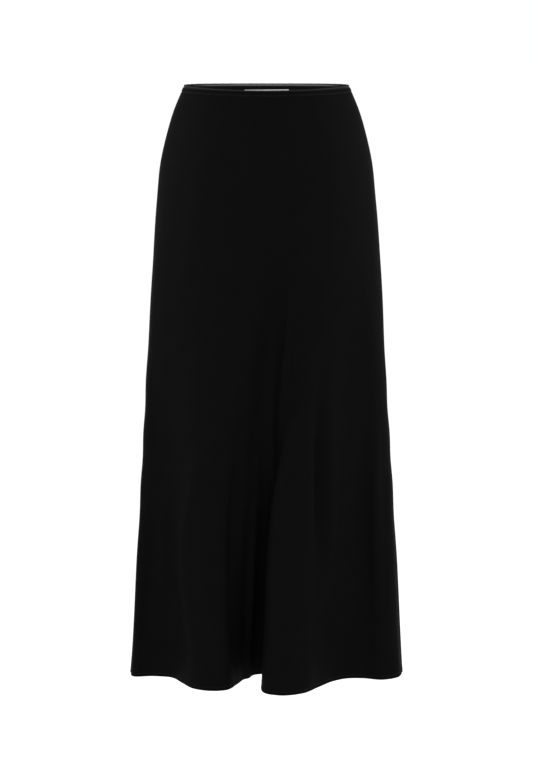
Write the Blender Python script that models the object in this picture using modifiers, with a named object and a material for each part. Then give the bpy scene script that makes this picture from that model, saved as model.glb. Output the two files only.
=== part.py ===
"""Bias cut midi skirt, modelled as it hangs from a wearer's waist with no wearer in it.

Two flared panels, cut with the grain at 45 degrees, are joined at the side seams. Their top edge is
turned over a narrow picot-edged elastic, whose row of scallops stands above the cloth. A bare woven
label is sewn inside the back waist.

The frame: +Z up, -Y to the front, origin at the centre of the waist edge, where a body holds it.
Lengths are written in millimetres and turned into metres as the meshes are made.
"""

import math
from collections import namedtuple

import bmesh
import bpy
import numpy as np

MM = 0.001

# Driving sizes, in millimetres.
LENGTH = 884.0  # waist edge to hem, straight down
WALL = 1.2  # the cloth with its drape, as one wall
GAP = 0.3  # between pieces that are sewn together
ELASTIC_WALL = 1.1
ELASTIC_DEPTH = 6.5  # the plain band, below the edge of the cloth
PICOT_HEIGHT = 3.7  # the scallops' tips, above the edge of the cloth
PICOT_NOTCH = 2.6  # and the notches between them
PICOT_COUNT = 164  # a scallop every 4 mm round the waist
LABEL_WIDTH = 67.0
LABEL_HEIGHT = 22.0
LABEL_TOP = 4.0  # below the edge of the cloth
LABEL_WALL = 0.8
FRONT_DIP = 2.0  # how far the waist edge sinks at the centre front
BACK_DIP = 1.3  # and at the centre back
DIP_FADES = 90.0  # the dip is gone this far below the edge

# The body of the skirt without its folds: two half ellipses, front and back, at each height.
Section = namedtuple("Section", "below half_width front back")
SECTIONS = (
    Section(below=0, half_width=120.5, front=84, back=86),
    Section(below=40, half_width=136.8, front=94, back=98),
    Section(below=105, half_width=152.9, front=102, back=111),
    Section(below=163, half_width=160.1, front=106, back=118),
    Section(below=251, half_width=166.3, front=108, back=122),
    Section(below=492, half_width=181.0, front=103, back=126),
    Section(below=LENGTH, half_width=205.2, front=90, back=130),
)

# The hem seen from above, from the left side seam across the front and back round to it. "turn" is
# where on the body above each fold line begins, in degrees round from the left seam: 90 is the centre
# front, 270 the centre back. The fold grows from nothing at "starts" below the waist to its full size.
Station = namedtuple("Station", "name turn x forward starts")
FRONT_STATIONS = (
    Station("left seam", 0, -205.5, -12, 300),
    Station("left corner", 6, -202, 6, 300),
    Station("left plain", 19, -168, 6, 220),
    Station("left lobe foot", 30, -144, 13, 200),
    Station("left lobe flank", 42, -126, 42, 170),
    Station("left lobe shoulder", 53, -107, 73, 150),
    Station("left lobe crest", 63, -83, 83, 140),
    Station("left lobe inner shoulder", 73, -60, 79, 130),
    Station("valley left wall", 81, -45, 50, 130),
    Station("valley left foot", 88, -31, 15, 130),
    Station("valley floor", 93, -16, -2, 130),
    Station("valley under the fold", 96.5, 0, -3, 130),
    Station("fold turn", 99.5, 8, 9, 130),
    Station("fold inner wall", 103, 1, 38, 130),
    Station("fold edge", 107, -7, 71, 130),
    Station("right lobe shoulder", 112, -1, 96, 130),
    Station("right lobe crest", 118, 24, 107, 140),
    Station("right lobe outer shoulder", 124, 52, 96, 150),
    Station("right lobe flank", 130, 76, 66, 170),
    Station("right lobe foot", 138, 100, 33, 200),
    Station("right plain", 146, 124, 18, 240),
    Station("right dip", 154, 146, 17, 320),
    Station("right wave", 163, 174, 25, 320),
    Station("right corner", 172, 198, 12, 300),
)
BACK_STATIONS = (
    Station("right seam", 180, 205.5, -12, 300),
    Station("right side", 194, 207, -58, 240),
    Station("right back corner", 207, 203, -102, 220),
    Station("right back lobe", 216, 186, -124, 200),
    Station("right back lobe end", 223, 164, -113, 200),
    Station("right back valley", 229, 145, -99, 200),
    Station("middle lobe rise", 235, 125, -113, 200),
    Station("middle lobe crest", 241, 104, -130, 200),
    Station("middle lobe end", 248, 80, -118, 180),
    Station("back valley", 255, 58, -94, 170),
    Station("back valley wall", 261, 33, -102, 170),
    Station("left back lobe wall", 268, 13, -136, 160),
    Station("left back lobe shoulder", 276, -8, -170, 160),
    Station("left back lobe crest", 284, -40, -188, 160),
    Station("left back lobe dimple", 294, -80, -180, 200),
    Station("left back lobe outer", 305, -124, -178, 200),
    Station("left back flank", 318, -165, -147, 200),
    Station("left back corner", 332, -191, -103, 220),
    Station("left side", 346, -204, -56, 240),
)
EASE = 0.16  # how softly a fold starts, as a share of its height

# Mesh rows, as distances below the waist edge: close over the hips, where the cloth curves.
ROWS = (0, 10, 24, 42, 64, 90, 120, 155, 195, 240, 295, 360, 430, 505, 580, 655, 730, 805, 850, LENGTH)
FRONT_COLUMNS = 2  # mesh columns from one station to the next
BACK_COLUMNS = 3
LABEL_COLUMNS = 8
LABEL_ROWS = 4
PICOT_POINTS = 2  # mesh columns to a scallop: one on its tip and one between


def smooth(table_x, table_y, x, period=None):
    """Cubic curve through the table's points, with slopes from their neighbours, read at x.

    With a period the table closes on itself after that length."""
    knots = np.asarray(table_x, float)
    values = np.asarray(table_y, float)
    x = np.asarray(x, float)
    if period is not None:
        x = np.mod(x, period)
        knots = np.concatenate([knots[-2:] - period, knots, knots[:2] + period])
        values = np.concatenate([values[-2:], values, values[:2]])
    steps = np.diff(knots)
    rises = np.diff(values) / steps
    slopes = np.empty_like(values)
    slopes[1:-1] = (rises[:-1] * steps[1:] + rises[1:] * steps[:-1]) / (steps[:-1] + steps[1:])
    slopes[0], slopes[-1] = rises[0], rises[-1]
    i = np.clip(np.searchsorted(knots, x, side="right") - 1, 0, len(steps) - 1)
    step = steps[i]
    t = (x - knots[i]) / step
    return (
        values[i] * (1 + 2 * t) * (1 - t) ** 2
        + slopes[i] * step * t * (1 - t) ** 2
        + values[i + 1] * t * t * (3 - 2 * t)
        + slopes[i + 1] * step * t * t * (t - 1)
    )


class Ring:
    """The closed line of the hem, and where each of its points lies on the plain body above.

    A place round the skirt is a number from 0 to 2: 0 is the left side seam, 1 the right one, and the
    front lies between them. The back runs on from 1 to 2."""

    def __init__(self, front, back):
        stations = front + back
        self.turns = [s.turn for s in stations]
        self.xs = [s.x for s in stations]
        self.forwards = [s.forward for s in stations]
        self.starts = [s.starts for s in stations]
        points = np.array([[s.x, s.forward] for s in stations + front[:1]], float)
        chords = np.hypot(*np.diff(points, axis=0).T)
        halves = (chords[: len(front)], chords[len(front) :])
        runs = [np.cumsum(half) / half.sum() for half in halves]
        self.places = np.concatenate([[0], runs[0], 1 + runs[1][:-1]])

    def station_range(self, first, last, columns_each):
        """The places from one station to another, with that many columns from each to the next."""
        knots = list(self.places[first:last]) + [self.places[last] if last < len(self.places) else 2.0]
        columns = [np.linspace(a, b, columns_each, endpoint=False) for a, b in zip(knots, knots[1:])]
        return np.concatenate(columns + [knots[-1:]])

    def turn(self, place):
        """Degrees round the body from the left seam."""
        eased = np.array(self.turns) - 180 * self.places
        return 180 * np.asarray(place) + smooth(self.places, eased, place, period=2)

    def place_at(self, turn):
        """The place whose line begins at that turn."""
        places = np.linspace(0, 2, 2001)
        return np.interp(turn, self.turn(places), places)

    def hem(self, place):
        """x and forward distance of the hem."""
        return [smooth(self.places, table, place, period=2) for table in (self.xs, self.forwards)]

    def fold_share(self, place, below):
        """How much of its full size a fold has at that height, from 0 to 1."""
        starts = smooth(self.places, self.starts, place, period=2)
        t = np.clip((below - starts) / (LENGTH - starts), 0, None)
        return (np.hypot(t, EASE) - EASE) / (math.hypot(1, EASE) - EASE)

    def cloth(self, place, below):
        """The middle of the cloth, in millimetres, at those places and distances below the waist."""
        place, below = np.broadcast_arrays(np.asarray(place, float), np.asarray(below, float))
        turn = np.radians(self.turn(place))
        plain_x, plain_forward = plain_ring(turn, below)
        plain_hem_x, plain_hem_forward = plain_ring(turn, LENGTH)
        hem_x, hem_forward = self.hem(place)
        share = self.fold_share(place, below)
        x = plain_x + share * (hem_x - plain_hem_x)
        forward = plain_forward + share * (hem_forward - plain_hem_forward)
        dip = np.where(np.sin(turn) > 0, FRONT_DIP, BACK_DIP) * np.sin(turn) ** 2
        height = -below - dip * np.clip(1 - below / DIP_FADES, 0, 1)
        return np.stack([x, -forward, height], axis=-1)


def plain_ring(turn, below):
    """x and forward distance on the body of the skirt without folds."""
    depths = [s.below for s in SECTIONS]
    half_width = smooth(depths, [s.half_width for s in SECTIONS], below)
    front = smooth(depths, [s.front for s in SECTIONS], below)
    back = smooth(depths, [s.back for s in SECTIONS], below)
    return -np.cos(turn) * half_width, np.sin(turn) * np.where(np.sin(turn) > 0, front, back)


def moved_out(grid, distance):
    """The grid's points moved along its outward normals."""
    along = np.gradient(grid, axis=1)
    down = np.gradient(grid, axis=0)
    normals = np.cross(down, along)
    normals /= np.linalg.norm(normals, axis=-1, keepdims=True)
    return grid + distance * normals


def even_turns(count):
    """Turns that part the waist into that many equal lengths, from 0 to 360 degrees."""
    turns = np.linspace(0, 360, 2001)
    x, forward = plain_ring(np.radians(turns), 0)
    run = np.concatenate([[0], np.cumsum(np.hypot(np.diff(x), np.diff(forward)))])
    return np.interp(np.linspace(0, run[-1], count + 1), run, turns)


def material(name, colour, roughness):
    made = bpy.data.materials.new(name)
    made.use_nodes = True
    shader = made.node_tree.nodes["Principled BSDF"]
    shader.inputs["Base Color"].default_value = (*colour, 1)
    shader.inputs["Roughness"].default_value = roughness
    shader.inputs["Metallic"].default_value = 0
    return made


def sheet_from_grid(name, grid, thickness, look, closed=False):
    """A grid primitive bent to the given points, and made a wall of that thickness about them."""
    rows, columns = grid.shape[:2]
    bm = bmesh.new()
    bmesh.ops.create_grid(bm, x_segments=columns - 1, y_segments=rows - 1, size=1)
    for vert in bm.verts:
        column = round((vert.co.x + 1) / 2 * (columns - 1))
        row = round((1 - vert.co.y) / 2 * (rows - 1))
        vert.co = grid[row, column] * MM
    if closed:
        bmesh.ops.remove_doubles(bm, verts=bm.verts, dist=0.01 * MM)
    mesh = bpy.data.meshes.new(name)
    bm.to_mesh(mesh)
    bm.free()
    mesh.materials.append(look)
    mesh.shade_smooth()
    sheet = bpy.data.objects.new(name, mesh)
    wall = sheet.modifiers.new("wall", "SOLIDIFY")
    wall.thickness = thickness * MM
    wall.offset = 0
    wall.use_even_offset = True
    wall.use_quality_normals = True
    return sheet


def panel(name, ring, first, last, columns_each, look):
    """One panel, from one side seam to the other, its two edges drawn back by half the seam gap."""
    places = ring.station_range(first, last, columns_each)
    grid = ring.cloth(places[None, :], np.array(ROWS, float)[:, None])
    for edge, inner in ((0, 1), (-1, -2)):
        inward = grid[:, inner] - grid[:, edge]
        grid[:, edge] += inward / np.linalg.norm(inward, axis=-1, keepdims=True) * GAP / 2
    return sheet_from_grid(name, grid, WALL, look)


def waist_elastic(ring, look):
    """The elastic, one closed ring inside the cloth, with its scalloped edge standing above it."""
    columns = PICOT_COUNT * PICOT_POINTS
    places = ring.place_at(even_turns(columns))
    below = np.array([0.0, ELASTIC_DEPTH])
    band = ring.cloth(places[None, :], below[:, None])
    band = moved_out(band, -(WALL / 2 + GAP + ELASTIC_WALL / 2))
    band[:, -1] = band[:, 0]
    on_tip = np.arange(columns + 1) % PICOT_POINTS == 1
    scallops = band[0] + np.outer(np.where(on_tip, PICOT_HEIGHT, PICOT_NOTCH), (0, 0, 1))
    ring_of_points = np.concatenate([scallops[None], band])
    return sheet_from_grid("waist_elastic", ring_of_points, ELASTIC_WALL, look, closed=True)


def back_label(ring, look):
    """The label, laid on the inside of the elastic and the back panel at the centre back."""
    below = LABEL_TOP + np.linspace(0, LABEL_HEIGHT, LABEL_ROWS + 1)[:, None]
    x = np.linspace(LABEL_WIDTH / 2, -LABEL_WIDTH / 2, LABEL_COLUMNS + 1)[None, :]
    half_width = smooth([s.below for s in SECTIONS], [s.half_width for s in SECTIONS], below)
    places = ring.place_at(270 - np.degrees(np.arcsin(x / half_width)))
    inside = WALL / 2 + GAP + ELASTIC_WALL + GAP + LABEL_WALL / 2
    grid = moved_out(ring.cloth(places, below), -inside)
    return sheet_from_grid("back_label", grid, LABEL_WALL, look)


def main():
    for leftover in list(bpy.data.objects):
        bpy.data.objects.remove(leftover)
    skirt = bpy.data.collections.new("bias_cut_skirt")
    bpy.context.scene.collection.children.link(skirt)
    cloth = material("black_cloth", (0.005, 0.005, 0.005), 0.75)
    elastic = material("black_elastic", (0.006, 0.006, 0.006), 0.6)
    woven = material("white_label", (0.85, 0.85, 0.84), 0.55)
    ring = Ring(FRONT_STATIONS, BACK_STATIONS)
    count = len(FRONT_STATIONS)
    for piece in (
        panel("front_panel", ring, 0, count, FRONT_COLUMNS, cloth),
        panel("back_panel", ring, count, count + len(BACK_STATIONS), BACK_COLUMNS, cloth),
        waist_elastic(ring, elastic),
        back_label(ring, woven),
    ):
        skirt.objects.link(piece)


main()
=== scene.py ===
"""The looks of a black bias cut midi skirt, which hangs hollow from a picot-edged elastic waist.

Lengths are in millimetres until a mesh is made. The frame is +Z up, -Y to the front, with the origin
at the centre of the waist edge. "below" is a distance down from that edge. A "place" is a number from
0 to 2 round the skirt: the front lies between 0, the left side seam, and 1, the right one.
"""

from collections import namedtuple

import bpy
import numpy as np
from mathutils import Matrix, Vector


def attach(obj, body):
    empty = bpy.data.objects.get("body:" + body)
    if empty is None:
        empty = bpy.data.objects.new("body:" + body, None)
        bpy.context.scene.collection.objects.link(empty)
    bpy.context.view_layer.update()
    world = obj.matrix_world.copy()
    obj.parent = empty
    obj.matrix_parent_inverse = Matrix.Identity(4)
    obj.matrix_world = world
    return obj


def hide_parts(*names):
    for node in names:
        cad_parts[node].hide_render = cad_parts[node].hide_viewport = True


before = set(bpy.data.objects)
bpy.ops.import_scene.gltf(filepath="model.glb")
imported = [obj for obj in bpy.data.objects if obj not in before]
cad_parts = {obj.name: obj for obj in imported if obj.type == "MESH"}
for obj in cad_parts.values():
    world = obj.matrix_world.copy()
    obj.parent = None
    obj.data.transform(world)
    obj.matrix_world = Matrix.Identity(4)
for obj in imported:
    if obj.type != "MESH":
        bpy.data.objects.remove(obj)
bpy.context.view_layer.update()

# --------------------------------------------------------------------------------------------------
# Front and back panels: two flared pieces of fine black crepe, cut with the grain at 45 degrees, so
# that they cling at the hips and fall in soft cones below. The top edge is turned in under the
# elastic, the side edges are turned in at the seams, and the hem is turned up and stitched.

MM = 0.001
LENGTH = 884.0
PLY = 0.45
FACE = 0.6  # the cloth's face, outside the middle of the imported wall
WAIST_TURNING = 5.5
WAIST_FOLD = 0.4  # radius of the fold at the top edge
HEM_TURNING = 6.5
HEM_FOLD = 0.55
FRONT_DIP = 2.6  # how far the waist edge sinks at the centre front
BACK_DIP = 1.8
DIP_FADES = 90.0
EASE = 0.16  # how softly a fold starts, as a share of its height
PANEL_COLUMNS = 236
PANEL_ROWS = 132
BOTH_SEAMS = (0.0, 1.0, 2.0)

# The body of the skirt without its folds: two half ellipses, front and back, at each height.
Section = namedtuple("Section", "below half_width front back")
SECTIONS = (
    Section(below=0, half_width=120.5, front=84, back=86),
    Section(below=40, half_width=136.8, front=94, back=98),
    Section(below=105, half_width=152.9, front=102, back=111),
    Section(below=163, half_width=160.1, front=106, back=118),
    Section(below=251, half_width=166.3, front=108, back=122),
    Section(below=492, half_width=181.0, front=103, back=126),
    Section(below=LENGTH, half_width=205.2, front=90, back=130),
)

# The hem seen from above. "turn" is where on the body each fold line begins, in degrees round from
# the left seam, and "starts" is how far below the waist the fold begins to open.
Station = namedtuple("Station", "name turn x forward starts")
FRONT_STATIONS = (
    Station("left seam", 0, -205.5, -12, 300),
    Station("left corner", 6, -202, 6, 300),
    Station("left plain", 19, -168, 6, 220),
    Station("left lobe foot", 30, -144, 13, 200),
    Station("left lobe flank", 42, -126, 42, 170),
    Station("left lobe shoulder", 53, -107, 73, 150),
    Station("left lobe crest", 63, -83, 83, 140),
    Station("left lobe inner shoulder", 73, -60, 79, 130),
    Station("valley left wall", 81, -45, 50, 130),
    Station("valley left foot", 88, -31, 15, 130),
    Station("valley floor", 93, -16, -2, 130),
    Station("valley under the fold", 96.5, 0, -3, 130),
    Station("fold turn", 99.5, 8, 9, 130),
    Station("fold inner wall", 103, 1, 38, 130),
    Station("fold edge", 107, -7, 71, 130),
    Station("right lobe shoulder", 112, -1, 96, 130),
    Station("right lobe crest", 118, 24, 107, 140),
    Station("right lobe outer shoulder", 124, 52, 96, 150),
    Station("right lobe flank", 130, 76, 66, 170),
    Station("right lobe foot", 138, 100, 33, 200),
    Station("right plain", 146, 124, 18, 240),
    Station("right dip", 154, 146, 17, 320),
    Station("right wave", 163, 174, 25, 320),
    Station("right corner", 172, 198, 12, 300),
)
BACK_STATIONS = (
    Station("right seam", 180, 205.5, -12, 300),
    Station("right side", 194, 207, -58, 240),
    Station("right back corner", 207, 203, -102, 220),
    Station("right back lobe", 216, 186, -124, 200),
    Station("right back lobe end", 223, 164, -113, 200),
    Station("right back valley", 229, 145, -99, 200),
    Station("middle lobe rise", 235, 125, -113, 200),
    Station("middle lobe crest", 241, 104, -130, 200),
    Station("middle lobe end", 248, 80, -118, 180),
    Station("back valley", 255, 58, -94, 170),
    Station("back valley wall", 261, 33, -102, 170),
    Station("left back lobe wall", 268, 13, -136, 160),
    Station("left back lobe shoulder", 276, -8, -170, 160),
    Station("left back lobe crest", 284, -40, -188, 160),
    Station("left back lobe dimple", 294, -80, -180, 200),
    Station("left back lobe outer", 305, -124, -178, 200),
    Station("left back flank", 318, -165, -147, 200),
    Station("left back corner", 332, -191, -103, 220),
    Station("left side", 346, -204, -56, 240),
)

# Small creases on the folds: the places of a crease's line at its top, middle and lower end, how far
# below the waist it starts and stops, its half width, and how far it stands out, or in if negative.
Crease = namedtuple("Crease", "name places top low width height")
FRONT_CREASES = (
    Crease("left corner hollow", (0.066, 0.058, 0.052), 620, 930, 10, -3.0),
    Crease("left side swell", (0.050, 0.064, 0.092), 400, 680, 9, 2.6),
    Crease("left flank foot", (0.254, 0.117, 0.239), 460, 910, 9, -3.5),
    Crease("left flank ridge", (0.312, 0.177, 0.297), 460, 910, 14, 7.0),
    Crease("left crest line", (0.244, 0.250, 0.262), 430, 790, 6, -1.0),
    Crease("left shoulder fall", (0.328, 0.306, 0.316), 360, 900, 18, -9.5),
    Crease("belly hollow", (0.500, 0.510, 0.515), 50, 250, 50, -6.0),
    Crease("valley head", (0.500, 0.430, 0.395), 150, 620, 22, -8.0),
    Crease("valley foot", (0.425, 0.420, 0.415), 300, 860, 26, 10.0),
    Crease("valley ridge", (0.398, 0.388, 0.412), 540, 980, 9, 8.0),
    Crease("under the fold", (0.492, 0.490, 0.484), 240, 680, 19, 8.0),
    Crease("fold head", (0.600, 0.590, 0.580), 200, 620, 32, -10.0),
    Crease("fold edge lean", (0.575, 0.570, 0.566), 380, 920, 24, 9.5),
    Crease("fold shade", (0.622, 0.606, 0.604), 440, 800, 6, -2.5),
    Crease("right crest stripe", (0.672, 0.708, 0.746), 340, 790, 11, -13.0),
    Crease("right flank ridge", (0.720, 0.756, 0.792), 380, 800, 17, 8.0),
    Crease("right hip line", (0.858, 0.872, 0.888), 290, 600, 8, -1.4),
    Crease("right side swell", (0.812, 0.838, 0.858), 380, 650, 9, 1.7),
    Crease("right side stripe", (0.846, 0.864, 0.886), 410, 830, 9, -4.0),
    Crease("right side ridge", (0.878, 0.898, 0.918), 410, 830, 12, 6.0),
    Crease("right corner swell", (0.948, 0.940, 0.935), 560, 940, 10, 1.6),
)
BACK_CREASES = (
    Crease("right side line", (1.052, 1.060, 1.064), 380, 720, 9, -1.6),
    Crease("right corner swell", (1.100, 1.108, 1.118), 430, 760, 9, 1.9),
    Crease("right lobe stripe", (1.150, 1.164, 1.172), 520, 850, 8, -2.0),
    Crease("middle lobe line", (1.292, 1.306, 1.316), 420, 780, 7, -1.6),
    Crease("back valley ridge", (1.404, 1.398, 1.408), 560, 960, 8, 3.0),
    Crease("left lobe shoulder line", (1.545, 1.556, 1.560), 380, 740, 7, -1.3),
    Crease("left lobe stripe", (1.622, 1.632, 1.640), 430, 800, 9, -2.6),
    Crease("left lobe ridge", (1.700, 1.684, 1.702), 400, 860, 9, 2.4),
    Crease("left flank stripe", (1.782, 1.792, 1.790), 470, 830, 10, -2.4),
    Crease("left side swell", (1.912, 1.922, 1.930), 420, 700, 9, 1.8),
)


def smooth(table_x, table_y, x, period=None):
    """Cubic curve through the table's points: in each step the two values and the two slopes are
    blended by the Hermite cubics, and a slope is its two neighbouring rises, each weighted by the
    other's step. With a period the table closes on itself after that length."""
    knots = np.asarray(table_x, float)
    values = np.asarray(table_y, float)
    x = np.asarray(x, float)
    if period is not None:
        x = np.mod(x, period)
        knots = np.concatenate([knots[-2:] - period, knots, knots[:2] + period])
        values = np.concatenate([values[-2:], values, values[:2]])
    steps = np.diff(knots)
    rises = np.diff(values) / steps
    slopes = np.empty_like(values)
    slopes[1:-1] = (rises[:-1] * steps[1:] + rises[1:] * steps[:-1]) / (steps[:-1] + steps[1:])
    slopes[0], slopes[-1] = rises[0], rises[-1]
    i = np.clip(np.searchsorted(knots, x, side="right") - 1, 0, len(steps) - 1)
    step = steps[i]
    t = (x - knots[i]) / step
    return (
        values[i] * (1 + 2 * t) * (1 - t) ** 2
        + slopes[i] * step * t * (1 - t) ** 2
        + values[i + 1] * t * t * (3 - 2 * t)
        + slopes[i + 1] * step * t * t * (t - 1)
    )


def station_places():
    """The place of each station: its share of the chords along the front hem, or 1 and its share of
    those along the back hem."""
    stations = FRONT_STATIONS + BACK_STATIONS + FRONT_STATIONS[:1]
    chords = np.hypot(*np.diff([[s.x, s.forward] for s in stations], axis=0).T)
    halves = (chords[: len(FRONT_STATIONS)], chords[len(FRONT_STATIONS) :])
    runs = [np.cumsum(half) / half.sum() for half in halves]
    return np.concatenate([[0], runs[0], 1 + runs[1][:-1]])


STATIONS = FRONT_STATIONS + BACK_STATIONS
PLACES = station_places()
TURN_EASE = np.array([s.turn for s in STATIONS]) - 180 * PLACES
DEPTHS = [s.below for s in SECTIONS]


def turn_at(place):
    """Degrees round the body from the left seam: 180 for each place, and the stations' difference
    from that, by a closed smooth curve."""
    return 180 * np.asarray(place) + smooth(PLACES, TURN_EASE, place, period=2)


def place_at(turn):
    """The place whose line begins at that turn, read backwards from a close table."""
    places = np.linspace(0, 2, 2001)
    return np.interp(turn, turn_at(places), places)


def plain_ring(turn, below):
    """x and forward distance on the body without folds: an ellipse at that height, with one depth
    in front and another behind."""
    half_width, front, back = (
        smooth(DEPTHS, [getattr(s, name) for s in SECTIONS], below)
        for name in ("half_width", "front", "back")
    )
    return -np.cos(turn) * half_width, np.sin(turn) * np.where(np.sin(turn) > 0, front, back)


def middle(place, below):
    """The middle of the cloth. The hem's own line less the plain ellipse there is a fold's full
    size. That times the fold's share at this height is added to the plain ellipse. The share is
    a hyperbola that leaves 0 softly at "starts" and reaches 1 at the hem. The top edge dips with the
    square of the sine of its turn, and the dip fades evenly below it."""
    place, below = np.broadcast_arrays(np.asarray(place, float), np.asarray(below, float))
    turn = np.radians(turn_at(place))
    plain_x, plain_forward = plain_ring(turn, below)
    full_x, full_forward = plain_ring(turn, LENGTH)
    starts = smooth(PLACES, [s.starts for s in STATIONS], place, period=2)
    t = np.clip((below - starts) / (LENGTH - starts), 0, None)
    share = (np.hypot(t, EASE) - EASE) / (np.hypot(1, EASE) - EASE)
    x = plain_x + share * (smooth(PLACES, [s.x for s in STATIONS], place, period=2) - full_x)
    hem_forward = smooth(PLACES, [s.forward for s in STATIONS], place, period=2)
    forward = plain_forward + share * (hem_forward - full_forward)
    dip = np.where(np.sin(turn) > 0, FRONT_DIP, BACK_DIP) * np.sin(turn) ** 2
    height = -below - dip * np.clip(1 - below / DIP_FADES, 0, 1)
    return np.stack([x, -forward, height], axis=-1)


def outward(place, below):
    """Unit vectors out of the cloth: the cross product of the ways down it and along it, each the
    difference of two points close by."""
    down = middle(place, np.asarray(below) + 1) - middle(place, np.asarray(below) - 1)
    along = middle(np.asarray(place) + 0.002, below) - middle(np.asarray(place) - 0.002, below)
    normal = np.cross(down, along)
    return normal / np.linalg.norm(normal, axis=-1, keepdims=True)


def half_round(below):
    """The length of the front from seam to seam at that height, from a close polygon."""
    line = middle(np.linspace(0, 1, 400)[None, :], np.ravel(below)[:, None])
    return np.linalg.norm(np.diff(line, axis=1), axis=-1).sum(axis=1).reshape(np.shape(below))


def bell(distance, width):
    """1 at no distance, falling to 0 past the width, as the bell curve of the square."""
    return np.exp(-((distance / width) ** 2))


def creases(place, below, table):
    """How far small creases lift the cloth. Each is a bell across its line and a sine squared along
    it. Its line is the parabola through its three places."""
    size = half_round(below)
    lift = np.zeros(np.broadcast(place, below).shape)
    for crease in table:
        t = np.clip((below - crease.top) / (crease.low - crease.top), 0, 1)
        first, second, third = crease.places
        line = first * (1 - t) * (1 - 2 * t) + second * 4 * t * (1 - t) + third * t * (2 * t - 1)
        lift += crease.height * np.sin(np.pi * t) ** 2 * bell((place - line) * size, crease.width)
    return lift


WAIST_GROOVE_BELOW = 6.6  # the zigzag's groove, under the waist edge
HEM_GROOVE_UP = 5.4  # the lockstitches' groove, above the hem's edge
PUCKERS = 118  # to each place, beside the waist's stitches
ALLOWANCE_MIDDLE = 5.0  # where the seam allowance lifts the back panel, from the seam


def sewn_relief(place, below):
    """How far sewing lifts the cloth: the rolled band over the elastic and the stitch groove under
    it, the hem's turning and its groove, the seam grooves with the allowance that shows behind
    each, and the slow ripple that a bias edge takes beside its stitches."""
    size = half_round(below)
    from_seam = np.min([np.abs(place - seam) for seam in BOTH_SEAMS], axis=0) * size
    behind = np.where((place > 1) & (place < 2), 1.0, 0.0)
    band = 0.45 * bell(below - 2.8, 2.6) - 0.4 * bell(below - WAIST_GROOVE_BELOW, 1.1)
    puckers = 0.22 * np.sin(2 * np.pi * place * PUCKERS) * bell(below - 7.5, 4.0)
    hem_up = LENGTH - below
    hem = 0.22 * bell(hem_up - 2.5, 3.2) - 0.28 * bell(hem_up - HEM_GROOVE_UP, 1.0)
    hem_ripple = 0.25 * bell(hem_up, 26.0) * np.sin(31 * place + 3 * np.sin(17 * place))
    seam = -0.55 * bell(from_seam, 2.2) + behind * 0.3 * bell(from_seam - ALLOWANCE_MIDDLE, 4.0)
    seam_ripple = 0.5 * bell(from_seam, 22.0) * np.sin(below / 19 + 2.5 * np.sin(below / 83))
    return band + puckers + hem + hem_ripple + seam + seam_ripple * np.clip(below / 120, 0, 1)


def slow_waves(place, below):
    """Faint unevenness of hanging cloth: three long sine waves that cross at unlike slants."""
    return (
        0.32 * np.sin(place * 23 + below / 71)
        + 0.26 * np.sin(place * 37 - below / 113 + 1.3)
        + 0.18 * np.sin(place * 61 + below / 47 + 4.1)
    ) * np.clip(below / 160, 0, 1)


def face(place, below, inward=0.0):
    """Points on the outer face of the cloth, or that far inside it."""
    table = FRONT_CREASES + BACK_CREASES
    lift = creases(place, below, table) + sewn_relief(place, below) + slow_waves(place, below)
    return middle(place, below) + (FACE - inward + lift)[..., None] * outward(place, below)


def panel_rows():
    """How far below the waist and how far inside the face each mesh row lies. They run up the waist
    turning, round its fold as a half circle, down the panel, round the hem's fold and up its
    turning, whose raw edge bends under. They lie closer at the waist and the hem, and one lies in each
    groove."""
    half_turn = np.linspace(0, np.pi, 7)
    down = np.linspace(0, 1, PANEL_ROWS)
    uneven = down + 0.055 * np.sin(2 * np.pi * down) ** 3
    body = WAIST_FOLD + (LENGTH - WAIST_FOLD - HEM_FOLD) * uneven
    by_waist = [1.6, 3, 4.6, WAIST_GROOVE_BELOW, 8.2, 10.5]
    by_hem = LENGTH - np.array([2, 4, HEM_GROOVE_UP, 7, 9])
    body = np.unique(np.concatenate([body, by_waist, by_hem]))
    below = np.concatenate(
        [
            [WAIST_TURNING, 3.5, 1.5],
            WAIST_FOLD * (1 - np.sin(half_turn[:-1])),
            body,
            LENGTH - HEM_FOLD * (1 - np.sin(half_turn[1:])),
            LENGTH - np.array([2.5, 4.5, HEM_TURNING - 0.5, HEM_TURNING]),
        ]
    )
    inward = np.concatenate(
        [
            np.full(3, 2 * WAIST_FOLD),
            WAIST_FOLD * (1 + np.cos(half_turn[:-1])),
            np.zeros(len(body)),
            HEM_FOLD * (1 - np.cos(half_turn[1:])),
            2 * HEM_FOLD - np.array([0, 0, 0.03, 0.3]),
        ]
    )
    return below, inward


def panel_columns(first, last):
    """The place and the inward turn of each mesh column, in millimetres. They lie close together
    where the side edges roll in to the seam, and even between."""
    roll = np.array([0.0, 0.0001, 0.0004, 0.0011, 0.0024, 0.0045])
    roll_in = np.array([1.3, 0.85, 0.45, 0.16, 0.03, 0.0])
    inner = np.linspace(0.0075, 1 - 0.0075, PANEL_COLUMNS - 2 * len(roll))
    share = np.concatenate([roll, inner, 1 - roll[::-1]])
    turned_in = np.concatenate([roll_in, np.zeros(len(inner)), roll_in[::-1]])
    return first + (last - first) * share, turned_in


def grid_faces(rows, columns, closed_rows=False, closed_columns=False, offset=0):
    """Vertex numbers of the quads of a grid: each vertex with those below, below right and right
    of it. A closed side joins its last line to its first."""
    r = np.arange(rows if closed_rows else rows - 1)[:, None]
    c = np.arange(columns if closed_columns else columns - 1)[None, :]
    r_next = (r + 1) % rows
    c_next = (c + 1) % columns
    quads = np.stack(
        [r * columns + c, r_next * columns + c, r_next * columns + c_next, r * columns + c_next], axis=-1
    )
    return quads.reshape(-1, 4) + offset


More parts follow.
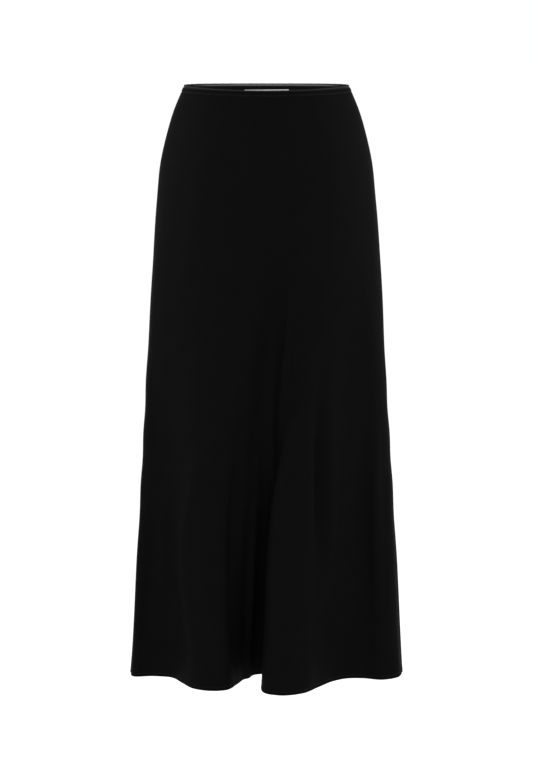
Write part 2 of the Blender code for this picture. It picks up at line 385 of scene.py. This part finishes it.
def mesh_object(name, points, quads, uvs, material):
    """An object at the origin whose mesh has those points, in millimetres, and those quads. uvs
    gives each vertex its place on the flat cloth, in millimetres."""
    mesh = bpy.data.meshes.new(name)
    mesh.vertices.add(len(points))
    mesh.vertices.foreach_set("co", (points * MM).astype(np.float32).ravel())
    mesh.loops.add(quads.size)
    mesh.loops.foreach_set("vertex_index", quads.astype(np.int32).ravel())
    mesh.polygons.add(len(quads))
    mesh.polygons.foreach_set("loop_start", np.arange(0, quads.size, 4, dtype=np.int32))
    layer = mesh.uv_layers.new(name="cut")
    layer.data.foreach_set("uv", uvs[quads.ravel()].astype(np.float32).ravel())
    mesh.update(calc_edges=True)
    mesh.validate()
    mesh.shade_smooth()
    mesh.materials.append(material)
    made = bpy.data.objects.new(name, mesh)
    bpy.context.scene.collection.objects.link(made)
    return made


def thicken(piece, thickness):
    """Makes a sheet a closed shell, its given face kept and the wall inside it, or outside it where
    the thickness is negative."""
    wall = piece.modifiers.new("ply", "SOLIDIFY")
    wall.thickness = thickness * MM
    wall.offset = -1
    wall.use_even_offset = False


def node_group(name, inputs, outputs):
    """An empty shader node group with float and vector inputs, and float outputs."""
    group = bpy.data.node_groups.new(name, "ShaderNodeTree")
    for label, kind in inputs:
        group.interface.new_socket(label, in_out="INPUT", socket_type=kind)
    for label in outputs:
        group.interface.new_socket(label, in_out="OUTPUT", socket_type="NodeSocketFloat")
    return group, group.nodes.new("NodeGroupInput"), group.nodes.new("NodeGroupOutput")


def math_node(tree, operation, *values):
    """A Math node whose inputs are sockets or plain numbers. Returns its output."""
    node = tree.nodes.new("ShaderNodeMath")
    node.operation = operation
    for socket, value in zip(node.inputs, values):
        if isinstance(value, (int, float)):
            socket.default_value = value
        else:
            tree.links.new(value, socket)
    return node.outputs[0]


def weave_group():
    """Crossing threads. Each thread is the arch of a cosine across its pitch. The two ways take
    turns to lie on top, as the parity of the threads' numbers says, and the height is the greater
    of the two."""
    sockets = [
        ("Vector", "NodeSocketVector"),
        ("Warp Pitch", "NodeSocketFloat"),
        ("Weft Pitch", "NodeSocketFloat"),
    ]
    group, given, out = node_group("weave", sockets, ["Height"])
    axes = group.nodes.new("ShaderNodeSeparateXYZ")
    group.links.new(given.outputs["Vector"], axes.inputs[0])
    counts = []
    arches = []
    for axis, pitch in (("X", "Warp Pitch"), ("Y", "Weft Pitch")):
        count = math_node(group, "DIVIDE", axes.outputs[axis], given.outputs[pitch])
        counts.append(math_node(group, "FLOOR", count))
        centred = math_node(group, "MULTIPLY", math_node(group, "SUBTRACT", count, 0.5), np.pi)
        arches.append(math_node(group, "ABSOLUTE", math_node(group, "COSINE", centred)))
    total = math_node(group, "ADD", *counts)
    parity = math_node(group, "PINGPONG", total, 1.0)
    warp_up = math_node(group, "ADD", 0.4, math_node(group, "MULTIPLY", parity, 0.6))
    warp = math_node(group, "MULTIPLY", arches[0], warp_up)
    weft_up = math_node(group, "SUBTRACT", 1.0, math_node(group, "MULTIPLY", parity, 0.6))
    weft = math_node(group, "MULTIPLY", arches[1], weft_up)
    group.links.new(math_node(group, "MAXIMUM", warp, weft), out.inputs["Height"])
    return group


WEAVE = weave_group()


def principled(name, colour, roughness, specular, sheen, sheen_roughness):
    """A material with plain values on its Principled BSDF. Returns it with its tree and shader."""
    made = bpy.data.materials.new(name)
    made.use_nodes = True
    shader = made.node_tree.nodes["Principled BSDF"]
    shader.inputs["Base Color"].default_value = (*colour, 1)
    shader.inputs["Roughness"].default_value = roughness
    shader.inputs["Specular IOR Level"].default_value = specular
    shader.inputs["Sheen Weight"].default_value = sheen
    shader.inputs["Sheen Roughness"].default_value = sheen_roughness
    return made, made.node_tree, shader


def cut_coordinates(tree, turn):
    """The piece's flat cut in millimetres, turned by that many degrees."""
    cut = tree.nodes.new("ShaderNodeUVMap")
    cut.uv_map = "cut"
    turned = tree.nodes.new("ShaderNodeMapping")
    turned.inputs["Rotation"].default_value[2] = np.radians(turn)
    tree.links.new(cut.outputs["UV"], turned.inputs["Vector"])
    return turned.outputs["Vector"]


def noise(tree, vector, scale, detail, roughness=0.5):
    """A noise texture's value."""
    node = tree.nodes.new("ShaderNodeTexNoise")
    node.inputs["Scale"].default_value = scale
    node.inputs["Detail"].default_value = detail
    node.inputs["Roughness"].default_value = roughness
    tree.links.new(vector, node.inputs["Vector"])
    return node.outputs["Fac"]


def between(tree, value, low, high):
    """A value from 0 to 1 spread over low to high."""
    node = tree.nodes.new("ShaderNodeMapRange")
    node.inputs["To Min"].default_value = low
    node.inputs["To Max"].default_value = high
    tree.links.new(value, node.inputs["Value"])
    return node.outputs["Result"]


def mix_colours(tree, value, first, second):
    """A colour between two, by a value from 0 to 1."""
    ramp = tree.nodes.new("ShaderNodeValToRGB")
    ramp.color_ramp.elements[0].color = (*first, 1)
    ramp.color_ramp.elements[1].color = (*second, 1)
    tree.links.new(value, ramp.inputs["Fac"])
    return ramp.outputs["Color"]


def add_bump(tree, shader, height, distance, strength):
    """Feeds the shader's normal from a height, whose full step is that distance in millimetres."""
    bump = tree.nodes.new("ShaderNodeBump")
    bump.inputs["Distance"].default_value = distance * MM
    bump.inputs["Strength"].default_value = strength
    tree.links.new(height, bump.inputs["Height"])
    tree.links.new(bump.outputs["Normal"], shader.inputs["Normal"])


def weave_height(tree, vector, warp_pitch, weft_pitch):
    """The height of the shared weave at those pitches in millimetres."""
    weave = tree.nodes.new("ShaderNodeGroup")
    weave.node_tree = WEAVE
    weave.inputs["Warp Pitch"].default_value = warp_pitch
    weave.inputs["Weft Pitch"].default_value = weft_pitch
    tree.links.new(vector, weave.inputs["Vector"])
    return weave.outputs["Height"]


def blend(tree, first, second, second_share):
    """Two values in one, the second with that share."""
    first_part = math_node(tree, "MULTIPLY", first, 1 - second_share)
    second_part = math_node(tree, "MULTIPLY", second, second_share)
    return math_node(tree, "ADD", first_part, second_part)


# the crepe's colour range, spread by slow random tone and by painted shade between the threads
CREPE_DARK = (0.0018, 0.0018, 0.0019)
CREPE_LIGHT = (0.0029, 0.0029, 0.0030)


def crepe_material():
    """Matt black crepe: threads on the bias, a pebbled grain over them, and faint slow changes of
    colour and roughness. Its colour is partly that slow random tone and partly painted shade,
    darker in the gaps between the threads."""
    made, tree, shader = principled("black_crepe", (0.002, 0.002, 0.002), 0.62, 0.008, 0.001, 0.4)
    bias = cut_coordinates(tree, 45)
    threads = weave_height(tree, bias, 0.34, 0.30)
    pebble = noise(tree, bias, 1.1, 3)
    slow = noise(tree, bias, 0.035, 3)
    # painted shade: the base colour is darker where the weave's threads sink, mixed with slow random
    # tone
    colour = mix_colours(tree, blend(tree, threads, slow, 0.65), CREPE_DARK, CREPE_LIGHT)
    tree.links.new(colour, shader.inputs["Base Color"])
    tree.links.new(between(tree, slow, 0.56, 0.70), shader.inputs["Roughness"])
    height = math_node(tree, "ADD", threads, math_node(tree, "MULTIPLY", pebble, 0.8))
    add_bump(tree, shader, height, 0.06, 0.35)
    return made


crepe = crepe_material()


def make_panel(name, first, last):
    """One panel from seam to seam, made a closed shell one ply thick and attached to the root body."""
    below, inward = panel_rows()
    place, turned_in = panel_columns(first, last)
    grid = face(place[None, :], below[:, None], inward[:, None] + turned_in[None, :])
    size = half_round(below)
    across = (place[None, :] - (first + last) / 2) * size[:, None]
    along = np.cumsum(np.hypot(np.diff(below, prepend=below[0]), np.diff(inward, prepend=inward[0])))
    uvs = np.stack([across, np.broadcast_to(-along[:, None], across.shape)], axis=-1)
    quads = grid_faces(*grid.shape[:2])
    piece = mesh_object(name, grid.reshape(-1, 3), quads, uvs.reshape(-1, 2), crepe)
    thicken(piece, PLY)
    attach(piece, "root")
    return piece


front = make_panel("front_cloth", 0, 1)
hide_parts("front_panel")
back = make_panel("back_cloth", 1, 2)
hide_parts("back_panel")

# --------------------------------------------------------------------------------------------------
# Seam allowances: inside each side seam the two raw edges are overlocked together with black thread
# and pressed to the back, a strip two plies thick that hangs free of the panel along its edge.

ALLOWANCE = 9.0
ALLOWANCE_INSIDE = 1.25  # its outer face, inside the face of the panel
ALLOWANCE_ROWS = 260
ALLOWANCE_WAVE = 37  # its free edge's waves, a sine of the depth over this
OVERLOCK_TURNS = 300
OVERLOCK_REACH = 1.7  # how far the thread swings to each side, along the cloth
OVERLOCK_DEPTH = 0.62  # the same, across it
OVERLOCK_RADIUS = 0.13


def round_tube(path, outer, radius, sides=6, closed=False, twist=0.0):
    """A tube's points, rings by sides: each ring is a circle about the path's point, in the plane
    of the outer vector and the vector square to it and to the path. A closed path's last ring joins
    its first. The uvs run along the path and round the tube, in millimetres."""
    if closed:
        way = np.roll(path, -1, axis=0) - np.roll(path, 1, axis=0)
    else:
        way = np.gradient(path, axis=0)
    way /= np.linalg.norm(way, axis=-1, keepdims=True)
    side = np.cross(way, outer)
    side /= np.linalg.norm(side, axis=-1, keepdims=True)
    lifted = np.cross(side, way)
    around = np.linspace(0, 2 * np.pi, sides, endpoint=False)
    radius = np.broadcast_to(np.asarray(radius, float), len(path))[:, None, None]
    cosine, sine = (wave[None, :, None] for wave in (np.cos(around), np.sin(around)))
    points = path[:, None] + radius * (cosine * lifted[:, None] + sine * side[:, None])
    run = np.concatenate([[0], np.cumsum(np.linalg.norm(np.diff(path, axis=0), axis=-1))])
    uvs = np.stack(np.broadcast_arrays(run[:, None], around[None, :] * radius[:, :, 0]), axis=-1)
    quads = grid_faces(len(path), sides, closed_rows=closed, closed_columns=True)
    return points.reshape(-1, 3), quads[:, ::-1], uvs.reshape(-1, 2)


def allowance_grid(seam, steps):
    """The strip behind a seam: it leaves the seam's roll, lies just inside the back panel, and its
    free edge lifts a little in long waves."""
    below = np.linspace(9, LENGTH - HEM_TURNING - 1, ALLOWANCE_ROWS)
    away = np.linspace(0, ALLOWANCE, steps)
    back_way = 1 if seam == 1 else -1
    place = seam + back_way * away[None, :] / half_round(below)[:, None]
    wave = np.sin(below / ALLOWANCE_WAVE + 2 * seam)
    lifted = (away / ALLOWANCE)[None, :] ** 2 * (0.7 + 0.5 * wave)[:, None]
    return place % 2, below[:, None] + 0 * place, ALLOWANCE_INSIDE + lifted


def overlock_thread(seam):
    """Thread along the strip's free edge: a helix round the edge, drawn out along the seam."""
    rings = OVERLOCK_TURNS * 6
    phase = np.linspace(0, 2 * np.pi * OVERLOCK_TURNS, rings)
    below = np.linspace(10, LENGTH - HEM_TURNING - 2, rings)
    back_way = 1 if seam == 1 else -1
    away = ALLOWANCE - 1.4 + OVERLOCK_REACH * np.cos(phase)
    place = (seam + back_way * away / half_round(below)) % 2
    edge = 1.15 + 0.5 * np.sin(below / ALLOWANCE_WAVE + 2 * seam)
    lifted = edge * (away / ALLOWANCE) ** 2 * 0.75
    inside = ALLOWANCE_INSIDE + PLY + lifted + OVERLOCK_DEPTH * np.sin(phase)
    return face(place, below, inside), outward(place, below)


def thread_material(name, colour, roughness, specular):
    """Sewing thread: two plies twisted together, which show as slanting ridges. The grooves
    between the plies are painted darker, a painted shade.
    """
    made, tree, shader = principled(name, colour, roughness, specular, 0.02, 0.4)
    slant = cut_coordinates(tree, 32)
    axes = tree.nodes.new("ShaderNodeSeparateXYZ")
    tree.links.new(slant, axes.inputs[0])
    wave = math_node(tree, "SINE", math_node(tree, "MULTIPLY", axes.outputs["X"], 9.0))
    # painted shade: a darker copy of the thread colour, laid in the grooves between the plies
    twist = math_node(tree, "ABSOLUTE", wave)
    groove_shade_colour = tuple(0.75 * c for c in colour)
    tree.links.new(mix_colours(tree, twist, groove_shade_colour, colour), shader.inputs["Base Color"])
    add_bump(tree, shader, twist, 0.04, 0.6)
    return made


black_thread = thread_material("black_thread", (0.006, 0.006, 0.0065), 0.5, 0.2)

for seam, side in ((0, "left"), (1, "right")):
    places, depths, inside = allowance_grid(seam, 7)
    grid = face(places, depths, inside)
    if seam == 0:
        grid = grid[:, ::-1]
    flat = np.stack(np.broadcast_arrays(np.linspace(0, ALLOWANCE, 7)[None, :], -depths), axis=-1)
    quads = grid_faces(*grid.shape[:2])
    strip = mesh_object(
        f"{side}_seam_allowance", grid.reshape(-1, 3), quads, flat.reshape(-1, 2), crepe
    )
    thicken(strip, 2 * PLY)
    tube = round_tube(*overlock_thread(seam), OVERLOCK_RADIUS, sides=5)
    thread = mesh_object(f"{side}_overlock", *tube, black_thread)
    for piece in (strip, thread):
        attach(piece, "root")

# --------------------------------------------------------------------------------------------------
# Waist elastic: a narrow black lingerie elastic, sewn inside the turned top edge. It is a ribbed band
# whose upper edge carries a row of thread loops, the picot, which stand up above the cloth.

BAND_OUTER = 1.55  # the band's outer face, inside the face of the cloth
BAND_THICK = 0.95
BAND_TOP = -1.3  # a little above the edge of the cloth
BAND_LOW = 6.6
RIB_PITCH = 1.15
RIB_HEIGHT = 0.16
PICOT_COUNT = 162
PICOT_RISE = 3.7  # the middle of the loop's thread, above the edge of the cloth
PICOT_FRONT_DROP = 0.5  # the share of that rise by which the front's loops lean out and sink
PICOT_THREAD = 0.74  # its radius, beside the opening
PICOT_THICKER = 0.40  # at the top of the loop
PICOT_STEPS = 14
PICOT_LEAN = 1.2  # how far a loop leans out for what it sinks


def even_places(count):
    """Places that part the waist edge into that many equal lengths."""
    turns = np.linspace(0, 360, 4001)
    x, forward = plain_ring(np.radians(turns), 0)
    run = np.concatenate([[0], np.cumsum(np.hypot(np.diff(x), np.diff(forward)))])
    return place_at(np.interp(np.linspace(0, run[-1], count, endpoint=False), run, turns))


def waist_line(place, below, inside):
    """Points of the waist that far below its edge and inside the cloth's face. Above the edge they
    rise straight up."""
    on_cloth = np.maximum(below, 0)
    placed = middle(place, on_cloth) + (FACE - inside)[..., None] * outward(place, on_cloth)
    placed[..., 2] += np.maximum(-below, 0)
    return placed


def band_mesh():
    """The band as a closed ring: its section is a thin rectangle with rounded corners, and its
    inner face is ribbed by the arch of a sine."""
    columns = 2 * PICOT_COUNT
    place = even_places(columns)
    inner = np.linspace(BAND_TOP + 0.15, BAND_LOW - 0.15, 25)
    outer = np.linspace(BAND_LOW - 0.15, BAND_TOP + 0.15, 8)
    ribs = RIB_HEIGHT * np.abs(np.sin(np.pi * (inner - BAND_TOP) / RIB_PITCH))
    below = np.concatenate([inner, [BAND_LOW], outer, [BAND_TOP]])
    edge = [BAND_OUTER + BAND_THICK / 2]
    flat = np.full(len(outer), BAND_OUTER)
    inside = np.concatenate([BAND_OUTER + BAND_THICK + ribs, edge, flat, edge])
    points = waist_line(place[None, :], below[:, None], inside[:, None] + 0 * place[None, :])
    run = np.linspace(0, 2 * float(half_round(0.0)), columns, endpoint=False)
    uvs = np.stack(np.broadcast_arrays(run[None, :], below[:, None]), axis=-1)
    return points.reshape(-1, 3), grid_faces(len(below), columns, True, True), uvs.reshape(-1, 2)


def picot_path():
    """One thread that makes every loop in turn. In a loop it goes round a tall arch, whose width and
    height are powers of the cosine and sine of its angle, and it sinks into the band to reach the
    next one. The loops of the front lean out with the square of the sine of their turn."""
    steps = np.arange(PICOT_COUNT * PICOT_STEPS)
    loop, step = np.divmod(steps, PICOT_STEPS)
    angle = np.clip(np.pi * step / (PICOT_STEPS - 1), 0, np.pi)
    wide = 0.5 - PICOT_THREAD / 4.0 + 0.02
    radius = PICOT_THREAD + PICOT_THICKER * np.sin(angle) ** 2
    across = -np.sign(np.cos(angle)) * np.abs(np.cos(angle)) ** 0.42 * wide
    sway = 0.05 * np.sin(loop * 2.4)
    rise = (PICOT_RISE + 0.12 * np.sin(loop * 1.7)) * np.abs(np.sin(angle)) ** 0.55
    closed = np.append(even_places(PICOT_COUNT), 2.0)
    spot = loop + 0.5 + across + sway * np.sin(angle)
    place = np.interp(spot, np.arange(PICOT_COUNT + 1), closed) % 2
    drop = PICOT_FRONT_DROP * np.clip(np.sin(np.radians(turn_at(place))), 0, 1) ** 2
    lean = 0.1 * np.sin(loop * 3.1) * np.sin(angle) - PICOT_LEAN * drop * rise
    inside = BAND_OUTER + BAND_THICK / 2 + lean
    return waist_line(place, 0.3 - rise * (1 - drop), inside), outward(place, 0.0 * place), radius


def elastic_material():
    """Black knitted elastic: lengthwise ribs crossed by fine wrapping threads. Its colour is
    partly random fuzz tone and partly painted shade in the gaps between the threads.
    """
    made, tree, shader = principled("black_elastic", (0.004, 0.004, 0.0042), 0.55, 0.12, 0.01, 0.4)
    flat = cut_coordinates(tree, 0)
    threads = weave_height(tree, flat, 0.42, 0.58)
    fuzz = noise(tree, flat, 2.2, 2)
    # painted shade: darker where the weave's threads sink, mixed with the random fuzz tone
    tone_and_thread_shade = blend(tree, threads, fuzz, 0.4)
    colour = mix_colours(tree, tone_and_thread_shade, (0.0024, 0.0024, 0.0026), (0.006, 0.006, 0.0063))
    tree.links.new(colour, shader.inputs["Base Color"])
    tree.links.new(between(tree, fuzz, 0.48, 0.66), shader.inputs["Roughness"])
    add_bump(tree, shader, threads, 0.12, 0.6)
    return made


elastic = elastic_material()
band = mesh_object("waist_band", *band_mesh(), elastic)
picot = mesh_object("picot_loops", *round_tube(*picot_path(), sides=7, closed=True), elastic)
for piece in (band, picot):
    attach(piece, "root")
    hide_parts("waist_elastic")

# --------------------------------------------------------------------------------------------------
# Sewing: a three-step zigzag of black thread holds the elastic, and shows outside and inside. A row
# of straight lockstitches holds the hem, a groove above its edge on both faces.

ZIGZAG_MIDDLE = 5.2
ZIGZAG_REACH = 1.1
ZIGZAG_STITCH = 1.25
HEM_STITCH = 2.6
THREAD_RADIUS = 0.14


def zigzag_path(outside):
    """The thread swings to and fro as a triangle wave of three stitches each way, and dips at each
    needle hole as the sine of its stitches."""
    around = 2 * float(half_round(ZIGZAG_MIDDLE))
    stitches = 6 * round(around / ZIGZAG_STITCH / 6)
    t = np.linspace(0, stitches, stitches * 4, endpoint=False)
    closed = np.append(even_places(stitches), 2.0)
    place = np.interp(t, np.arange(stitches + 1), closed) % 2
    swing = np.abs((t / 3) % 2 - 1) * 2 - 1
    dip = np.abs(np.sin(np.pi * t)) ** 0.5
    below = ZIGZAG_MIDDLE + ZIGZAG_REACH * swing
    if outside:
        return face(place, below, 0.12 - 0.2 * dip), outward(place, below)
    surface = BAND_OUTER + BAND_THICK + RIB_HEIGHT
    return waist_line(place, below, surface - 0.1 + 0.2 * dip), outward(place, below)


def hem_stitches(inside):
    """Every stitch at once: a stitch is a short tube of five rings, thin at its ends, which sink
    into the cloth."""
    size = float(half_round(LENGTH - HEM_GROOVE_UP))
    count = int(2 * size / HEM_STITCH)
    rings, sides = 5, 5
    share = np.linspace(-0.42, 0.42, rings)
    place = ((np.arange(count)[:, None] + 0.5 + share[None, :]) * 2 / count) % 2
    below = np.full(place.shape, LENGTH - HEM_GROOVE_UP)
    bow = np.array([0.0, 0.75, 1.0, 0.75, 0.0])[None, :] + 0 * place
    depth = 2 * HEM_FOLD - 0.08 + 0.14 * bow if inside else 0.1 - 0.16 * bow
    path = face(place, below, depth)
    outer = outward(place, below)
    way = np.gradient(path, axis=1)
    way /= np.linalg.norm(way, axis=-1, keepdims=True)
    side = np.cross(way, outer)
    around = np.linspace(0, 2 * np.pi, sides, endpoint=False)
    cosine, sine = np.cos(around)[:, None], np.sin(around)[:, None]
    circle = cosine * outer[..., None, :] + sine * side[..., None, :]
    radius = THREAD_RADIUS * np.array([0.5, 0.95, 1, 0.95, 0.5])[None, :, None, None]
    points = path[..., None, :] + radius * circle
    one = grid_faces(rings, sides, closed_columns=True)[:, ::-1]
    quads = one[None] + (np.arange(count) * rings * sides)[:, None, None]
    run = (np.arange(rings) * HEM_STITCH / rings)[:, None] + 0 * around[None, :]
    uvs = np.stack([run, THREAD_RADIUS * around[None, :] + 0 * run], axis=-1)
    uvs = np.broadcast_to(uvs[None], (count, rings, sides, 2))
    return points.reshape(-1, 3), quads.reshape(-1, 4), uvs.reshape(-1, 2)


zigzag_outside, zigzag_within = (
    round_tube(*zigzag_path(outside), THREAD_RADIUS, sides=5, closed=True) for outside in (True, False)
)
SEWING = (
    ("waist_zigzag", zigzag_outside),
    ("waist_zigzag_inside", zigzag_within),
    ("hem_stitches", hem_stitches(False)),
    ("hem_stitches_inside", hem_stitches(True)),
)
for name, tubes in SEWING:
    piece = mesh_object(name, *tubes, black_thread)
    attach(piece, "root")

# --------------------------------------------------------------------------------------------------
# Label: a bare white woven label, sewn over the elastic inside the centre back. Its two ends are
# folded under, its upper and lower edges are woven a little thicker, and white thread holds it.

LABEL_HALF = 33.3
LABEL_TOP = 4.9
LABEL_HEIGHT = 21.8
LABEL_INSIDE = 2.75  # its outer face at the elastic, inside the cloth's face
LABEL_END = 5.0  # turned under at each end
LABEL_PLY = 0.3
LABEL_SLOPE = 0.011  # sewn on a little higher at its right end
LABEL_FOLD = 0.34  # radius of the fold at each end
LABEL_COLUMNS = 58  # between the folds
LABEL_STITCHES = 34
LABEL_THREAD = 0.13


def label_places(x, below):
    """The place on the back panel of a point that far to the right of the middle: the arc sine of
    its share of the half width there."""
    half_width = smooth(DEPTHS, [s.half_width for s in SECTIONS], below)
    return place_at(270 - np.degrees(np.arcsin(x / half_width)))


def label_mesh():
    """The label's sheet: a row runs under one end, round the fold as a half circle, across, round
    the other fold and back under. Below the elastic it drops back towards the panel."""
    fold = np.linspace(0, np.pi, 6)
    reach = LABEL_HALF - LABEL_FOLD
    under = np.linspace(reach - LABEL_END, reach, 4)[:-1]
    flat = np.linspace(reach, -reach, LABEL_COLUMNS + 2)[1:-1]
    turn_x = LABEL_FOLD * np.sin(fold)
    turn_up = LABEL_FOLD * (1 - np.cos(fold))
    x = np.concatenate([under, reach + turn_x, flat, -reach - turn_x[::-1], -under[::-1]])
    level = np.full(LABEL_COLUMNS, 2 * LABEL_FOLD)
    up = np.concatenate([0 * under, turn_up, level, turn_up[::-1], 0 * under])
    down = np.linspace(0, 1, 31)[:, None]
    below = LABEL_TOP + LABEL_HEIGHT * down - LABEL_SLOPE * x[None, :]
    place = label_places(x[None, :], below)
    relax = 0.9 * smooth([0, 4, 9, 30], [0, 0, 1, 1], below)
    wave = 0.35 * down**2 * np.sin(x[None, :] / 9.5 + 0.8)
    selvage = 0.12 * (bell(down, 0.05) + bell(1 - down, 0.05))
    inside = LABEL_INSIDE + up[None, :] - relax + wave + selvage
    points = middle(place, below) + (FACE - inside)[..., None] * outward(place, below)
    run = np.concatenate([[0], np.cumsum(np.hypot(np.diff(x), np.diff(up)))])
    uvs = np.stack(np.broadcast_arrays(run[None, :], -below), axis=-1)
    return points.reshape(-1, 3), grid_faces(*points.shape[:2]), uvs.reshape(-1, 2)


def label_material():
    """White satin-woven ribbon: close weft threads over a finer warp, with a soft shine. Its
    colour is partly slow random tone and partly painted shade in the gaps between the threads.
    """
    made, tree, shader = principled("white_label", (0.84, 0.84, 0.83), 0.45, 0.4, 0.1, 0.4)
    flat = cut_coordinates(tree, 0)
    threads = weave_height(tree, flat, 0.2, 0.32)
    slow = noise(tree, flat, 0.12, 2)
    # painted shade: darker where the weave's threads sink, mixed with slow random tone
    tone_and_thread_shade = blend(tree, threads, slow, 0.5)
    colour = mix_colours(tree, tone_and_thread_shade, (0.84, 0.84, 0.825), (0.93, 0.93, 0.92))
    tree.links.new(colour, shader.inputs["Base Color"])
    tree.links.new(between(tree, slow, 0.4, 0.52), shader.inputs["Roughness"])
    add_bump(tree, shader, threads, 0.07, 0.5)
    return made


def label_stitch_path():
    """White thread along the label's top edge: a narrow zigzag that dips at each hole."""
    t = np.linspace(0, 1, LABEL_STITCHES * 8)
    x = LABEL_HALF * (1.9 * t - 0.95)
    swing = np.abs((t * LABEL_STITCHES) % 2 - 1) * 2 - 1
    below = LABEL_TOP + 1.3 + 0.55 * swing - LABEL_SLOPE * x
    place = label_places(x, below)
    dip = 0.1 * np.abs(np.sin(np.pi * t * LABEL_STITCHES))
    inside = LABEL_INSIDE + 2 * LABEL_FOLD + 0.12 + dip
    outer = outward(place, below)
    return middle(place, below) + (FACE - inside)[:, None] * outer, outer


white = label_material()
white_thread = thread_material("white_thread", (0.82, 0.82, 0.8), 0.5, 0.3)
label = mesh_object("woven_label", *label_mesh(), white)
thicken(label, -LABEL_PLY)
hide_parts("back_label")
tube = round_tube(*label_stitch_path(), LABEL_THREAD, sides=5)
label_stitches = mesh_object("label_stitches", *tube, white_thread)
for piece in (label, label_stitches):
    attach(piece, "root")

# --------------------------------------------------------------------------------------------------
# The studio: a plain white floor under the hanging skirt, even white light all round, a wide soft
# light low in front, a weak one above, and a small one at each side of the hips. The camera is
# 3.6 m away, a little above the waist.

FLOOR_Z = -1.25
FLOOR_HALF = 30.0
CAMERA_AT = (0.0, -3.6, 0.18)
CAMERA_AIM = (0.0, 0.0, -0.44374)
CAMERA_LENS = 114.1
LIGHTS = (
    ("front_soft_light", (0.0, -3.4, -0.8), (2.4, 1.2), 36.0, -0.4),
    ("top_soft_light", (0.0, -1.2, 1.8), (1.4, 0.8), 9.0, -0.1),
    ("left_side_light", (-1.2, -0.15, 0.15), (0.6, 0.6), 11.0, -0.2),
    ("right_side_light", (1.2, -0.15, 0.15), (0.6, 0.6), 11.0, -0.2),
)


def aimed(made, at, target):
    """Places an object and turns its -Z axis to a target."""
    made.location = at
    made.rotation_euler = (Vector(target) - Vector(at)).to_track_quat("-Z", "Y").to_euler()
    bpy.context.scene.collection.objects.link(made)


def floor_mesh():
    """A flat square, its four corners given."""
    corners = np.array([[-1, -1], [1, -1], [1, 1], [-1, 1]]) * FLOOR_HALF
    mesh = bpy.data.meshes.new("floor")
    mesh.from_pydata([(x, y, FLOOR_Z) for x, y in corners], [], [(0, 1, 2, 3)])
    return mesh


floor = bpy.data.objects.new("floor", floor_mesh())
bpy.context.scene.collection.objects.link(floor)
floor_look, _, floor_shader = principled("white_floor", (0.9, 0.9, 0.9), 0.9, 0.0, 0.0, 0.5)
floor_shader.inputs["Emission Color"].default_value = (1, 1, 1, 1)
floor_shader.inputs["Emission Strength"].default_value = 0.14
floor.data.materials.append(floor_look)

world = bpy.data.worlds.new("studio")
bpy.context.scene.world = world
world.use_nodes = True
world.node_tree.nodes["Background"].inputs["Color"].default_value = (1, 1, 1, 1)
world.node_tree.nodes["Background"].inputs["Strength"].default_value = 1.0
bpy.context.scene.view_settings.view_transform = "Standard"

for name, at, size, power, aim_z in LIGHTS:
    lamp = bpy.data.lights.new(name, "AREA")
    lamp.shape = "RECTANGLE"
    lamp.size, lamp.size_y = size
    lamp.energy = power
    aimed(bpy.data.objects.new(name, lamp), at, (0, 0, aim_z))

lens = bpy.data.cameras.new("camera")
lens.lens = CAMERA_LENS
lens.sensor_width = 36
lens.sensor_fit = "AUTO"
lens.dof.use_dof = False
camera = bpy.data.objects.new("camera", lens)
aimed(camera, CAMERA_AT, CAMERA_AIM)
bpy.context.scene.camera = camera
